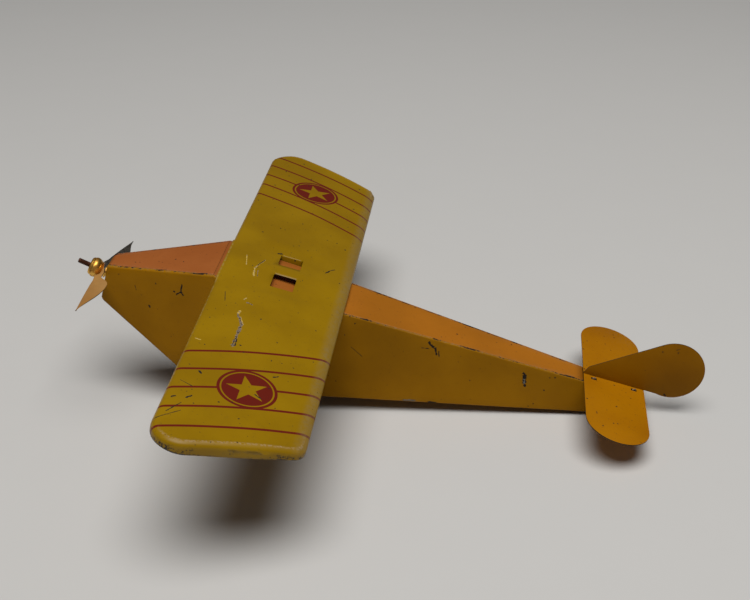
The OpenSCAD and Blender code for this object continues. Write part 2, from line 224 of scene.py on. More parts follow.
# ---- Materials ----

LEVEL_SCALE = 1 / MM


class Graph:
    """Short calls for the node graph of one material. Sockets and plain numbers mix freely."""

    def __init__(self, name):
        self.material = bpy.data.materials.new(name)
        self.material.use_nodes = True
        self.tree = self.material.node_tree
        self.shader = self.tree.nodes["Principled BSDF"]
        self.place = self.add("ShaderNodeTexCoord").outputs["Object"]

    def add(self, kind, **settings):
        node = self.tree.nodes.new(kind)
        for key, value in settings.items():
            setattr(node, key, value)
        return node

    def plug(self, value, socket):
        if isinstance(value, bpy.types.NodeSocket):
            self.tree.links.new(value, socket)
        else:
            socket.default_value = value

    def math(self, operation, *values):
        node = self.add("ShaderNodeMath", operation=operation)
        for value, socket in zip(values, node.inputs):
            self.plug(value, socket)
        return node.outputs[0]

    def dot(self, a, b):
        node = self.add("ShaderNodeVectorMath", operation="DOT_PRODUCT")
        self.plug(a, node.inputs[0])
        self.plug(b, node.inputs[1])
        return node.outputs["Value"]

    def layer(self, name):
        return self.add("ShaderNodeAttribute", attribute_name=name).outputs["Fac"]

    def ramp(self, value, low, high):
        """0 at low, 1 at high, smooth between them. low may be the larger one."""
        node = self.add("ShaderNodeMapRange", interpolation_type="SMOOTHSTEP")
        self.plug(value, node.inputs["Value"])
        if low <= high:
            node.inputs["From Min"].default_value = low
            node.inputs["From Max"].default_value = high
            return node.outputs["Result"]
        node.inputs["From Min"].default_value = high
        node.inputs["From Max"].default_value = low
        node.inputs["To Min"].default_value = 1
        node.inputs["To Max"].default_value = 0
        return node.outputs["Result"]

    def noise(self, size, detail=3, roughness=0.55, stretch=(1, 1, 1)):
        """Noise whose lumps are about size mm across."""
        mapping = self.add("ShaderNodeMapping")
        self.plug(self.place, mapping.inputs["Vector"])
        mapping.inputs["Scale"].default_value = stretch
        node = self.add("ShaderNodeTexNoise")
        self.plug(mapping.outputs[0], node.inputs["Vector"])
        node.inputs["Scale"].default_value = LEVEL_SCALE / size
        node.inputs["Detail"].default_value = detail
        node.inputs["Roughness"].default_value = roughness
        return node.outputs["Fac"]

    def specks(self, spacing, share, radius):
        """Small dots in a random share of the cells of a pattern spacing mm apart."""
        node = self.add("ShaderNodeTexVoronoi")
        warp = self.add("ShaderNodeTexNoise")
        self.plug(self.place, warp.inputs["Vector"])
        warp.inputs["Scale"].default_value = LEVEL_SCALE / 1.1
        shift = self.add("ShaderNodeVectorMath", operation="MULTIPLY_ADD")
        self.plug(warp.outputs["Color"], shift.inputs[0])
        shift.inputs[1].default_value = (0.0022, 0.0022, 0.0022)
        self.plug(self.place, shift.inputs[2])
        self.plug(shift.outputs[0], node.inputs["Vector"])
        node.inputs["Scale"].default_value = LEVEL_SCALE / spacing
        pick = self.add("ShaderNodeSeparateColor")
        self.plug(node.outputs["Color"], pick.inputs[0])
        chosen = self.math("LESS_THAN", pick.outputs[0], share)
        size = self.math("MULTIPLY", pick.outputs[1], radius)
        dot = self.math("LESS_THAN", node.outputs["Distance"], size)
        return self.math("MULTIPLY", chosen, dot)

    def edges(self, radius):
        """1 on edges sharper than a fillet of radius mm, 0 elsewhere."""
        rounded = self.add("ShaderNodeBevel", samples=6)
        rounded.inputs["Radius"].default_value = radius * MM
        normal = self.add("ShaderNodeNewGeometry").outputs["Normal"]
        return self.ramp(self.dot(rounded.outputs[0], normal), 0.98, 0.82)

    def mix(self, share, a, b):
        node = self.add("ShaderNodeMix", data_type="RGBA")
        self.plug(share, node.inputs["Factor"])
        self.plug(a, node.inputs[6])
        self.plug(b, node.inputs[7])
        return node.outputs[2]

    def any_of(self, *masks):
        total = masks[0]
        for mask in masks[1:]:
            total = self.math("MAXIMUM", total, mask)
        return total

    def both(self, a, b):
        return self.math("MULTIPLY", a, b)

    def level(self):
        """x, y and z of the level airplane, in mm."""
        axes = (LEVEL_X, Vector((0, 1, 0)), LEVEL_Z)
        out = []
        for axis in axes:
            along = self.dot(self.place, tuple(axis * LEVEL_SCALE))
            out.append(self.math("SUBTRACT", along, ORIGIN.dot(axis) * LEVEL_SCALE))
        return out

    def stroke(self, u, v, start, end, width, wobble):
        """A scratch from start to end with a ragged edge, in mm of the coordinates u and v."""
        du, dv = end[0] - start[0], end[1] - start[1]
        length = math.hypot(du, dv)
        du, dv = du / length, dv / length
        pu = self.math("SUBTRACT", u, start[0])
        pv = self.math("SUBTRACT", v, start[1])
        along = self.math("ADD", self.math("MULTIPLY", pu, du), self.math("MULTIPLY", pv, dv))
        nearest = self.math("MINIMUM", self.math("MAXIMUM", along, 0), length)
        past = self.math("SUBTRACT", along, nearest)
        across = self.math("SUBTRACT", self.math("MULTIPLY", pv, du), self.math("MULTIPLY", pu, dv))
        far = self.math("POWER", self.math("ADD", self.math("MULTIPLY", past, past),
                                           self.math("MULTIPLY", across, across)), 0.5)
        stray = self.math("MULTIPLY", self.math("SUBTRACT", wobble, 0.5), 2.4 * width)
        ragged = self.math("ADD", far, stray)
        return self.math("LESS_THAN", ragged, width / 2)

    def bump(self, height, strength, distance):
        node = self.add("ShaderNodeBump")
        node.inputs["Strength"].default_value = strength
        node.inputs["Distance"].default_value = distance * MM
        self.plug(height, node.inputs["Height"])
        self.plug(node.outputs[0], self.shader.inputs["Normal"])


BARE_TIN = (0.27, 0.22, 0.16, 1)
OLD_STEEL = (0.022, 0.017, 0.013, 1)
TONES = {"dark": OLD_STEEL, "pale": (0.27, 0.20, 0.14, 1), "bright": (0.62, 0.42, 0.07, 1),
         "silver": (0.20, 0.19, 0.17, 1)}


def painted(name, base, deep, gloss=0.42, edge_wear=0.5, speck_share=0.08, pattern=None, marks=(),
            wear_and_reflection=None, seam=0, shift=None, shine=0.15):
    """Old enamel: uneven colour, grime, specks, chips along the edges, and named scratches.
    pattern(graph, level) returns a mask and a colour laid over the enamel. marks are
    (u axis, v axis, start, end, width, side, tone) in the level airplane's mm. The wear and
    reflection hook takes (graph, level, blotch) and returns more masks with their colours: rubbed
    paint, and painted reflection of the backdrop. seam is the share of the seam layer that is
    chipped. shift is a second base colour with the x range over which the first turns into it."""
    g = Graph(name)
    level = g.level()
    cloud = g.noise(70, 3, 0.5)
    grain = g.noise(2.2, 4, 0.6)
    blotch = g.noise(16, 4, 0.6)
    if shift:
        base = g.mix(g.ramp(level[0], shift[1], shift[2]), base, shift[0])
        deep = g.mix(g.ramp(level[0], shift[1], shift[2]), deep, tuple(0.85 * c for c in shift[0]))
    colour = g.mix(g.ramp(cloud, 0.3, 0.7), deep, base)
    if pattern:
        mask, paint = pattern(g, level)
        colour = g.mix(mask, colour, paint)
    grime = g.ramp(g.noise(5, 5, 0.7), 0.52, 0.85)
    colour = g.mix(g.math("MULTIPLY", grime, 0.18), colour, OLD_STEEL)
    mist = g.ramp(g.noise(0.8, 2, 0.5), 0.62, 0.8)
    colour = g.mix(g.math("MULTIPLY", mist, 0.12), colour, OLD_STEEL)
    # Chips sit on the edges where a coarse and a fine noise agree
    edge = g.edges(0.8)
    ragged = g.math("ADD", g.math("MULTIPLY", blotch, 0.6), g.math("MULTIPLY", grain, 0.4))
    missing = [g.specks(4.6, speck_share, 0.21), g.specks(2.1, speck_share, 0.19),
               g.both(edge, g.ramp(ragged, 0.68 - 0.24 * edge_wear, 0.72 - 0.24 * edge_wear))]
    if seam:
        streak = g.noise(9, 4, 0.65, (0.35, 1.6, 1.6))
        line = g.layer("seam")
        rubbed = g.both(line, g.math("MULTIPLY", g.ramp(grain, 0.4, 0.7), 0.5))
        colour = g.mix(rubbed, colour, BARE_TIN)
        worn = g.ramp(line, 0.35, 0.5)
        thin = g.math("ADD", g.math("MULTIPLY", streak, 0.7), g.math("MULTIPLY", grain, 0.3))
        missing.append(g.both(worn, g.ramp(thin, 0.60 - seam, 0.625 - seam)))
    # Extra masks: rubbed paint, and on the wing a painted reflection along the trailing edge
    if wear_and_reflection:
        for mask, tone in wear_and_reflection(g, level, blotch):
            colour = g.mix(mask, colour, tone)
    lines = {}
    for u, v, start, end, width, side, tone in marks:
        line = g.stroke(level[u], level[v], start, end, width, grain)
        if side:
            line = g.both(line, g.math("LESS_THAN", g.math("MULTIPLY", level[1], side), 0))
        lines.setdefault(tone, []).append(line)
    worn = g.any_of(*missing)
    colour = g.mix(worn, colour, OLD_STEEL)
    flake = g.noise(1.1, 3, 0.6)
    for tone, masks in lines.items():
        mark = g.any_of(*masks)
        second = TONES["pale" if tone == "bright" else "dark"]
        fleck = g.mix(g.ramp(flake, 0.46, 0.56), TONES[tone], second)
        colour = g.mix(mark, colour, fleck)
        worn = g.any_of(worn, mark)
    g.plug(colour, g.shader.inputs["Base Color"])
    rough = g.math("ADD", gloss - 0.07, g.math("MULTIPLY", blotch, 0.14))
    g.plug(g.math("ADD", rough, g.math("MULTIPLY", worn, 0.25)), g.shader.inputs["Roughness"])
    g.shader.inputs["Specular IOR Level"].default_value = shine
    height = g.math("SUBTRACT", g.math("MULTIPLY", grain, 0.25), worn)
    g.bump(g.math("ADD", height, g.math("MULTIPLY", cloud, 0.6)), 0.5, 0.12)
    return g.material


def metal(name, base, tarnish, gloss, share=0.5, brushed=(1, 1, 1)):
    """Bare metal with tarnish in patches and a fine brushed grain."""
    g = Graph(name)
    patches = g.ramp(g.noise(4, 5, 0.65), 0.75 - share * 0.5, 0.95 - share * 0.5)
    grain = g.noise(0.7, 3, 0.6, brushed)
    g.plug(g.mix(patches, base, tarnish), g.shader.inputs["Base Color"])
    g.shader.inputs["Metallic"].default_value = 1
    rough = g.math("ADD", gloss, g.math("MULTIPLY", patches, 0.25))
    g.plug(g.math("ADD", rough, g.math("MULTIPLY", grain, 0.1)), g.shader.inputs["Roughness"])
    g.bump(grain, 0.25, 0.05)
    return g.material


def rubber(name):
    """Aged, slightly dusty rubber."""
    g = Graph(name)
    dust = g.ramp(g.noise(9, 5, 0.7), 0.4, 0.8)
    grain = g.noise(0.9, 4, 0.6)
    g.plug(g.mix(g.math("MULTIPLY", dust, 0.35), (0.018, 0.017, 0.016, 1), (0.11, 0.10, 0.09, 1)),
           g.shader.inputs["Base Color"])
    g.plug(g.math("ADD", 0.68, g.math("MULTIPLY", grain, 0.2)), g.shader.inputs["Roughness"])
    g.bump(grain, 0.4, 0.08)
    return g.material


# The wing's plan: leading edge at x = 0, slanting tips, two windows near the middle
CHORD = 118.7
HALF_SPAN = 278.6
TIP_SWEEP = math.radians(20)
LEAD_R = 25
TRAIL_R = 13
CAMBER = 3.1
CAMBER_CHORD = 115
ROLL_DROP = 4.5
RIM = 7.6
WINDOW_X = (48, 69.2)
WINDOW_Y = (9.6, 30.3)
TAB_BEND = 1.5
TAB_FOOT = -10.6
TAB_CLINCH = 4
HINGE_STEPS = 8
DROOP = 0.0513
DROOP_EASE = 5.27e-5
# How far in from the leading, trailing and tip edges the skin starts to roll down
ROLL_WIDTHS = (5.5, 10.5, 4.2)
LIP_AT = 4.4
LIP_HALF = 1.3
LIP_RISE = 0.45
DISH = 1.5
# Stored as the distance from the edge at points well inside it
FAR_IN = 20

TIP_Y = HALF_SPAN - LEAD_R + LEAD_R * (math.tan(TIP_SWEEP) + 1 / math.cos(TIP_SWEEP))
TRAIL_AT = (CHORD - TRAIL_R,
            TIP_Y - (CHORD - TRAIL_R) * math.tan(TIP_SWEEP) - TRAIL_R / math.cos(TIP_SWEEP))

# Wing decoration, in the level airplane's mm
STRIPE_COUNT = 5
STRIPE_PITCH = 26.3
STRIPE_W = 2.7
STRIPE_Y = 139.4
STRIPE_AT_X = 57.5
STRIPE_SLOPE = math.tan(0.346)
ROUNDEL_R = 24.7
ROUNDEL_Y = 191.5
ROUNDEL_X = 58.85
ROUNDEL_STAGGER = 1.55
RING_INNER = 0.90
DISC_SHARE = 0.845
STAR_SHARE = 0.715
STAR_NOTCH = 0.382
STAR_LEAN = 0.32
DARK_RED = (0.142, 0.013, 0.006, 1)


def wing_decoration(g, level):
    """Five slanting stripes on each half wing, and a ringed five-pointed star on the middle one."""
    x, y, _ = level
    side = g.math("SIGN", y)
    slant = g.math("MULTIPLY", g.math("SUBTRACT", x, STRIPE_AT_X), STRIPE_SLOPE)
    out = g.math("ADD", g.math("SUBTRACT", g.math("ABSOLUTE", y), STRIPE_Y), slant)
    turn = g.math("DIVIDE", out, STRIPE_PITCH)
    off = g.math("ABSOLUTE", g.math("SUBTRACT", turn, g.math("ROUND", turn)))
    stripe = g.math("LESS_THAN", off, STRIPE_W / 2 / STRIPE_PITCH)
    stripe = g.both(stripe, g.math("GREATER_THAN", turn, -0.5))
    stripe = g.both(stripe, g.math("LESS_THAN", turn, STRIPE_COUNT - 0.5))
    middle = g.math("SUBTRACT", ROUNDEL_X, g.math("MULTIPLY", side, ROUNDEL_STAGGER))
    dx = g.math("SUBTRACT", x, middle)
    dy = g.math("SUBTRACT", y, g.math("MULTIPLY", side, ROUNDEL_Y))
    far = g.math("POWER", g.math("ADD", g.math("MULTIPLY", dx, dx),
                                 g.math("MULTIPLY", dy, dy)), 0.5)
    outside = g.math("GREATER_THAN", far, ROUNDEL_R)
    ring = g.both(g.math("GREATER_THAN", far, ROUNDEL_R * RING_INNER),
                  g.math("LESS_THAN", far, ROUNDEL_R))
    disc = g.math("LESS_THAN", far, ROUNDEL_R * DISC_SHARE)
    # The star is folded into half of one of its five points
    star_r = ROUNDEL_R * STAR_SHARE
    notch = star_r * STAR_NOTCH
    part = math.radians(36)
    angle = g.math("SUBTRACT", g.math("ARCTAN2", g.math("MULTIPLY", dx, -1), dy), STAR_LEAN)
    fold = g.math("ABSOLUTE", g.math("WRAP", angle, part, -part))
    edge_x, edge_y = notch * math.cos(part), notch * math.sin(part)
    lhs = g.math("ADD", g.math("MULTIPLY", g.math("MULTIPLY", far, g.math("COSINE", fold)), edge_y),
                 g.math("MULTIPLY", g.math("MULTIPLY", far, g.math("SINE", fold)), star_r - edge_x))
    not_star = g.math("GREATER_THAN", lhs, star_r * edge_y)
    red = g.any_of(g.both(stripe, outside), ring, g.both(disc, not_star))
    return red, DARK_RED


X, Y, Z = 0, 1, 2
WING_MARKS = [
    (X, Y, (32.5, -63), (31.5, -66), 1.3, 1, "bright"),
    (X, Y, (35, -70), (39.5, -71.5), 1.4, 1, "pale"),
    (X, Y, (31.5, -85), (31, -91), 1.8, 1, "bright"),
    (X, Y, (31, -91), (37, -104), 1.7, 1, "pale"),
    (X, Y, (37, -104), (36.8, -117), 2.3, 1, "pale"),
    (X, Y, (36.8, -117), (36.4, -139), 2.2, 1, "pale"),
    (X, Y, (34, -94), (38.5, -104), 1.0, 1, "bright"),
    (X, Y, (38, -128), (38.5, -137), 1.0, 1, "dark"),
    (X, Y, (35.5, 10.8), (29.5, -9.8), 1.1, 0, "bright"),
    (X, Y, (35.2, 10), (31, -4), 0.7, 0, "dark"),
    (X, Y, (29.5, -9.8), (31.1, -22.8), 1.5, 0, "bright"),
    (X, Y, (33, -12), (34.2, -21.3), 0.7, 0, "pale"),
    (X, Y, (92.5, 18.5), (96, 26), 1.3, 0, "dark"),
    (X, Y, (96, 26), (99.5, 30.9), 1.0, 0, "dark"),
    (X, Y, (44.5, 31.5), (47.8, 33), 2.0, -1, "dark"),
    (X, Y, (67, -195.5), (73.2, -198.7), 1.3, 1, "dark"),
    (X, Y, (7.7, -243), (15.7, -229), 0.7, 1, "dark"),
    (X, Y, (1, -254.6), (18, -238.6), 0.6, 1, "dark"),
    (X, Y, (8, -200), (18.8, -205), 0.5, 1, "dark"),
    (X, Y, (19, -183), (21.5, -186), 1.5, 1, "dark"),
    (X, Y, (18, -221), (21, -218), 1.6, 1, "dark"),
    (X, Y, (77, -166), (80.5, -163), 1.2, 1, "dark"),
    (X, Y, (7, -224), (9, -222), 1.4, 1, "dark"),
    (X, Y, (5.2, -139), (10, -140), 0.9, 1, "bright"),
    (X, Y, (18, 10), (21, -8), 0.7, 0, "bright"),
    (X, Y, (13, -60), (16, -75), 0.5, 1, "dark"),
]
SIDE_MARKS = [
    (X, Z, (-29.5, -25), (-29, -32), 1.2, 1, "dark"),
    (X, Z, (-29, -32), (-32.5, -36.5), 1.5, 1, "dark"),
    (X, Z, (-29, -32), (-26.5, -34.5), 1.4, 1, "dark"),
    (X, Z, (-56, -59.5), (-55.3, -60.3), 1.7, 1, "dark"),
    (X, Z, (-73, -45), (-71, -49), 0.5, 1, "dark"),
    (X, Z, (294.6, -24.5), (298.4, -36.5), 3.0, 1, "dark"),
    (X, Z, (296, -29.5), (297.6, -34.5), 1.4, 1, "silver"),
    (X, Z, (195, -83), (206, -80.6), 1.5, 1, "silver"),
    (X, Z, (219, -78.5), (224, -77.3), 1.8, 1, "dark"),
    (X, Z, (201, -16), (206, -19.5), 2.6, 1, "dark"),
    (X, Z, (208, -20), (211, -26), 1.6, 1, "dark"),
    (X, Z, (212, -22), (214, -28), 1.0, 1, "dark"),
    (X, Z, (134, -40), (146, -47), 0.6, 1, "dark"),
    (X, Z, (196, -23), (202, -22), 0.7, 1, "dark"),
]
FIN_MARKS = [(X, Z, (427, -14), (429, -15.5), 1.6, 0, "dark"),
             (X, Z, (421, 34), (424, 36), 0.6, 0, "dark")]


def wing_wear_and_reflection(g, level, blotch):
    """Rubbed skin along the wing's edges: a pale crest inside each tip, dark chips on the corners
    of the rim, a pale line on the leading edge, and a pale grey band on the trailing edge's roll
    that is partly rubbed paint and partly a painted reflection of the pale backdrop."""
    x, y, _ = level
    depth = g.layer("edge")
    sweep = g.math("MULTIPLY", x, math.sin(TIP_SWEEP))
    out = g.math("MULTIPLY", g.math("SUBTRACT", TIP_Y, g.math("ABSOLUTE", y)), math.cos(TIP_SWEEP))
    tip = g.ramp(g.math("SUBTRACT", out, sweep), 26, 9)
    crest = g.ramp(g.math("ABSOLUTE", g.math("SUBTRACT", depth, 4.2)), 1.7, 0.2)
    fleck = g.noise(1.6, 3, 0.7)
    crest = g.both(g.both(crest, tip), g.math("MULTIPLY", g.ramp(fleck, 0.38, 0.66), 0.8))
    streak = g.noise(3.5, 4, 0.7)
    front = g.both(g.ramp(g.math("ABSOLUTE", g.math("SUBTRACT", depth, 1.0)), 1.0, 0.2),
                   g.ramp(x, 5, 2))
    front = g.both(front, g.math("MULTIPLY", g.ramp(streak, 0.38, 0.65), 0.6))
    # The trailing-edge band is partly rubbed paint and partly a painted reflection of the backdrop on the roll
    back = g.both(g.ramp(x, CHORD - 13, CHORD - 5), g.ramp(depth, -0.5, 1.5))
    back = g.both(back, g.math("ADD", 0.15, g.math("MULTIPLY", g.ramp(streak, 0.35, 0.7), 0.4)))
    corner = g.any_of(g.ramp(x, 62, 5), g.ramp(x, CHORD - 42, CHORD - 6))
    rag = g.math("ADD", g.math("MULTIPLY", fleck, 0.55), g.math("MULTIPLY", blotch, 0.45))
    rag = g.math("ADD", rag, g.math("MULTIPLY", corner, 0.115))
    low = g.both(g.both(g.ramp(depth, 1.0, -1.5), tip), g.ramp(rag, 0.615, 0.63))
    edge_chip = g.both(g.ramp(depth, -5.2, -7.2), g.ramp(g.math("ADD", rag, 0.05), 0.60, 0.62))
    rub = g.both(g.both(g.ramp(depth, 1.0, -2.0), tip),
                 g.math("MULTIPLY", g.ramp(blotch, 0.4, 0.7), 0.15))
    return [(g.math("MULTIPLY", back, 0.75), (0.250, 0.200, 0.115, 1)),
            (front, (0.40, 0.27, 0.10, 1)), (rub, (0.19, 0.13, 0.03, 1)),
            (crest, (0.40, 0.275, 0.15, 1)), (low, OLD_STEEL), (edge_chip, OLD_STEEL)]


MUSTARD = ((0.345, 0.150, 0.0012, 1), (0.270, 0.115, 0.0008, 1))
mustard = painted("mustard_paint", *MUSTARD, 0.40, 0.5, 0.12,
                  marks=SIDE_MARKS, seam=0.07, shine=0.06)
mustard_cad = painted("mustard_cad", *MUSTARD, 0.40, 0.5, 0.12, shine=0.06)
fin_paint = painted("fin_paint", (0.265, 0.108, 0.0010, 1), (0.215, 0.083, 0.0006, 1),
                    0.40, 0.0, 0.20, marks=FIN_MARKS, shine=0.06)
orange = painted("orange_paint", (0.375, 0.115, 0.026, 1), (0.325, 0.092, 0.019, 1),
                 0.45, 0.0, 0.16, seam=0.06, shift=((0.425, 0.146, 0.009, 1), 0, 150))
wing_paint = painted("wing_paint", (0.320, 0.180, 0.0012, 1), (0.262, 0.143, 0.0008, 1),
                     0.36, 0.0, 0.16, wing_decoration, WING_MARKS, wing_wear_and_reflection, shine=0.22)
sun_paint = painted("tailplane_paint", (0.410, 0.158, 0.0010, 1), (0.350, 0.126, 0.0006, 1),
                    0.42, 0.0, 0.34, shine=0.12)
prop_paint = painted("prop_paint", (0.480, 0.262, 0.085, 1), (0.370, 0.170, 0.042, 1),
                     0.38, 0.2, 0.05, shine=0.3)
wheel_paint = painted("wheel_paint", (0.230, 0.022, 0.012, 1), (0.170, 0.016, 0.009, 1),
                      0.38, 0.7, 0.06)
cut_edge = painted("cut_edge", (0.060, 0.040, 0.016, 1), (0.028, 0.018, 0.009, 1),
                   0.6, 0.0, 0.1, shine=0.1)
blade_back = metal("blade_back", (0.200, 0.180, 0.155, 1), (0.085, 0.070, 0.055, 1), 0.52, 0.7)
brass = metal("brass", (0.820, 0.480, 0.095, 1), (0.420, 0.200, 0.040, 1), 0.34, 0.6)
steel = metal("plain_steel", (0.330, 0.320, 0.300, 1), (0.110, 0.085, 0.065, 1),
              0.38, 0.6, (6, 1, 1))
pale_tin = metal("pale_tin", (0.620, 0.560, 0.430, 1), (0.300, 0.220, 0.120, 1), 0.45, 0.4)
rusty = metal("rusty_steel", (0.190, 0.085, 0.050, 1), (0.095, 0.038, 0.022, 1), 0.55, 0.9)
tyre_rubber = rubber("tyre_rubber")

SLOT_MATERIALS = {"mustard_paint": mustard_cad, "orange_paint": orange, "wing_paint": wing_paint,
                  "tailplane_paint": sun_paint, "prop_paint": prop_paint,
                  "wheel_paint": wheel_paint, "brass": brass, "plain_steel": steel,
                  "rusty_steel": rusty, "tyre_rubber": tyre_rubber}
for part in frame["record"]["subparts"]:
    mesh = frame["nodes"][part["node"]].data
    mesh.materials.clear()
    mesh.materials.append(SLOT_MATERIALS[part["material_slot"]])

# ---- Wing ----


def wing_outline(d):
    """The whole wing's plan outline drawn in by d, port trailing edge first, with even spacing."""
    sweep = math.degrees(TIP_SWEEP)
    half = [(d, 0.0)]
    half += arc((LEAD_R, HALF_SPAN - LEAD_R), max(LEAD_R - d, 0.5), 180, 90 - sweep, 14)
    half += arc(TRAIL_AT, max(TRAIL_R - d, 0.5), 90 - sweep, 0, 12)
    half.append((CHORD - d, 0.0))
    spaced = []
    for (x0, y0), (x1, y1) in zip(half, half[1:]):
        steps = max(1, round(math.hypot(x1 - x0, y1 - y0) / 6))
        spaced += [(x0 + (x1 - x0) * i / steps, y0 + (y1 - y0) * i / steps) for i in range(steps)]
    spaced.append(half[-1])
    mirrored = [(x, -y) for x, y in reversed(spaced[1:-1])]
    return spaced[::-1] + mirrored[::-1]


def tip_gap(x, y):
    """Distance inside the slanting tip edge."""
    return (TIP_Y - x * math.tan(TIP_SWEEP) - abs(y)) * math.cos(TIP_SWEEP)


def wing_droop(y):
    return -DROOP * abs(y) + DROOP_EASE * y * y


def wing_skin(x, y, d):
    """Height of the upper skin at a plan point that lies d inside the outline."""
    at = min(max(x, ROLL_DROP), CHORD - 2)
    z = CAMBER * (1 - (2 * at / CAMBER_CHORD - 1) ** 2) + wing_droop(y)
    gaps = (x, CHORD - x, tip_gap(x, y))
    shares = [1 / (max(gap, 0) + 1) ** 3 for gap in gaps]
    width = sum(s * w for s, w in zip(shares, ROLL_WIDTHS)) / sum(shares)
    if d < width:
        z -= ROLL_DROP * (1 - math.sqrt(max(1 - ((width - d) / width) ** 2, 0)))
    # A raised lip runs inside the tip
    z += LIP_RISE * math.exp(-((d - LIP_AT) / LIP_HALF) ** 2) * smooth_step(1.5 - gaps[2] / 12)
    # The skin is pressed down a little around the windows
    z -= DISH * smooth_step(1.8 - abs(x - 58.6) / 22) * smooth_step(2.0 - abs(abs(y) - 20) / 16)
    z += 0.35 * noise.noise(Vector((x / 45, y / 45, 3.1)))
    return z


def body_half_width(x):
    return line_z(PLAN_LINE, x)


def clear_of_body(p, lift):
    """Keeps the wing's edges above the deck where the wing crosses the body."""
    x, y, z = p
    if abs(y) < body_half_width(x) + 0.8:
        z = max(z, line_z(TOP_LINE, x) + 0.3 + lift)
    return (x, y, z)


def window_loop(side):
    """A window's edge: straight at the hinge, with small round corners at the inner side."""
    (x0, x1), (y0, y1) = WINDOW_X, (WINDOW_Y[0], WINDOW_Y[1] + TAB_BEND)
    r = 1.8
    hinge = [(x0 + (x1 - x0) * i / HINGE_STEPS, y1) for i in range(HINGE_STEPS + 1)]
    loop = hinge + arc((x1 - r, y0 + r), r, 0, -90, 5) + arc((x0 + r, y0 + r), r, -90, -180, 5)
    return [(x, side * y) for x, y in loop]


def make_wing():
    rings = [0.25, 0.7, 1.3, 2.1, 3.0, 3.8, 4.5, 5.3, 6.5, 8, 10, 12.5]
    outline = wing_outline(0)
    inner = []
    depth_at = {}
    for d in rings:
        for p in wing_outline(d):
            inner.append(p)
            depth_at[(round(p[0], 3), round(p[1], 3))] = d
    step = 5.5
    margin = 15
    limit = wing_outline(margin)
    windows = [window_loop(1), window_loop(-1)]
    for i in range(int(CHORD / step)):
        for j in range(-50, 51):
            p = (margin + i * step, j * step)
            if inside(p, limit) and not any(inside(p, w) for w in windows):
                inner.append(p)
    flat, faces = fill_outline(outline, windows, inner)
    count = len(outline)
    points, depths = [], []
    for i, p in enumerate(flat):
        key = (round(p[0], 3), round(p[1], 3))
        d = 0 if i < count else depth_at.get(key, FAR_IN)
        depths.append(d)
        points.append(clear_of_body((p[0], p[1], wing_skin(p[0], p[1], d)), SHEET + 0.4))
    # The rim hangs from the outline, with slight dents along its lower edge
    previous = list(range(count))
    for k, share in enumerate((0.35, 0.7, 1.0)):
        row = []
        for i in previous if k == 0 else range(count):
            x, y = outline[i % count]
            top = points[i][2]
            dent = 0.5 * noise.noise(Vector((x / 25, y / 25, 9.7)))
            low = -RIM + wing_droop(y) + dent
            floor = 0.4 - 0.13 * (k + 1)
            row.append(len(points))
            depths.append(-RIM * share)
            points.append(clear_of_body((x, y, top + (low - top) * share), floor))
        faces += [(previous[i], row[i], row[(i + 1) % count], previous[(i + 1) % count])
                  for i in range(count)]
        previous = row
    # Each window's tab bends down from its hinge edge, goes through the deck and is clinched
    deck = line_z(TOP_LINE, 58)
    bend = [(TAB_BEND - TAB_BEND * math.sin(math.radians(a)),
             -TAB_BEND * (1 - math.cos(math.radians(a)))) for a in (22, 45, 67, 90)]
    for side, start in ((1, count), (-1, count + len(windows[0]))):
        row = [start + i for i in range(HINGE_STEPS + 1)]
        top = points[start + HINGE_STEPS // 2][2]
        steps = [(y, z, None) for y, z in bend]
        steps += [(0, None, deck), (0, None, TAB_FOOT), (-TAB_CLINCH, None, TAB_FOOT)]
        for y_off, dz, z_abs in steps:
            made = []
            for i in row:
                x = points[i][0]
                z = top + dz if z_abs is None else z_abs
                made.append(len(points))
                depths.append(FAR_IN)
                points.append((x, side * (WINDOW_Y[1] + y_off), z))
            for a in range(len(row) - 1):
                quad = (row[a], row[a + 1], made[a + 1], made[a])
                faces.append(quad if side < 0 else quad[::-1])
            row = made
    obj = make_piece("wing_pan_skin", points, faces, "airframe",
                     [wing_paint, cut_edge],
                     ["wing_pan"], crease=50, layer=("edge", depths))
    thicken(obj, rim=1)


make_wing()

# ---- Body ----

FLANGE = 3.0
NOSE_BEND = 2.1
REAR_BEND = 1.3
DECK_GAP = 0.25
# The side shells curl in over this length at the nose
CURL = 2.4


def bend_radius(x):
    return NOSE_BEND + (REAR_BEND - NOSE_BEND) * smooth_step((x + 8) / 10)


def side_profile(x, side):
    """One cross-section of a side shell, from its top bend down to its bottom flange."""
    w = body_half_width(x)
    top, bottom = line_z(TOP_LINE, x), line_z(BOTTOM_LINE, x)
    front = x + NOSE_LEN
    if front < CURL:
        curl = 1 - math.sqrt(max(1 - ((CURL - front) / CURL) ** 2, 0))
        w -= 1.1 * curl
        bottom += CURL * curl
        top -= 0.9 * curl
    r = bend_radius(x)
    rows = [(w - r - 0.4, top - 0.06)]
    rows += [(w - r + r * math.sin(a), top - r + r * math.cos(a))
             for a in (math.radians(t) for t in (0, 15, 30, 45, 60, 75, 90))]
    for i in range(1, 8):
        z = top - r + (bottom - top + 2 * r) * i / 8
        push = 0.3 * noise.noise(Vector((x / 40, side * 5, z / 40)))
        rows.append((w - abs(push), z))
    rows += [(w - r + r * math.cos(a), bottom + r - r * math.sin(a))
             for a in (math.radians(t) for t in (0, 18, 36, 54, 72, 90))]
    rows.append((w - FLANGE - 1, bottom))
    return [(x, side * y, z) for y, z in rows]


# How strongly each point of a profile belongs to a seam or a bend, where paint chips off
SIDE_SEAM = [1, 0.9, 0.75, 0.55, 0.35, 0.15, 0.05, 0] + [0] * 7 + [0, 0.3, 0.6, 0.8, 0.6, 0.3, 0.2]
ORANGE_BEND_FACES = 6


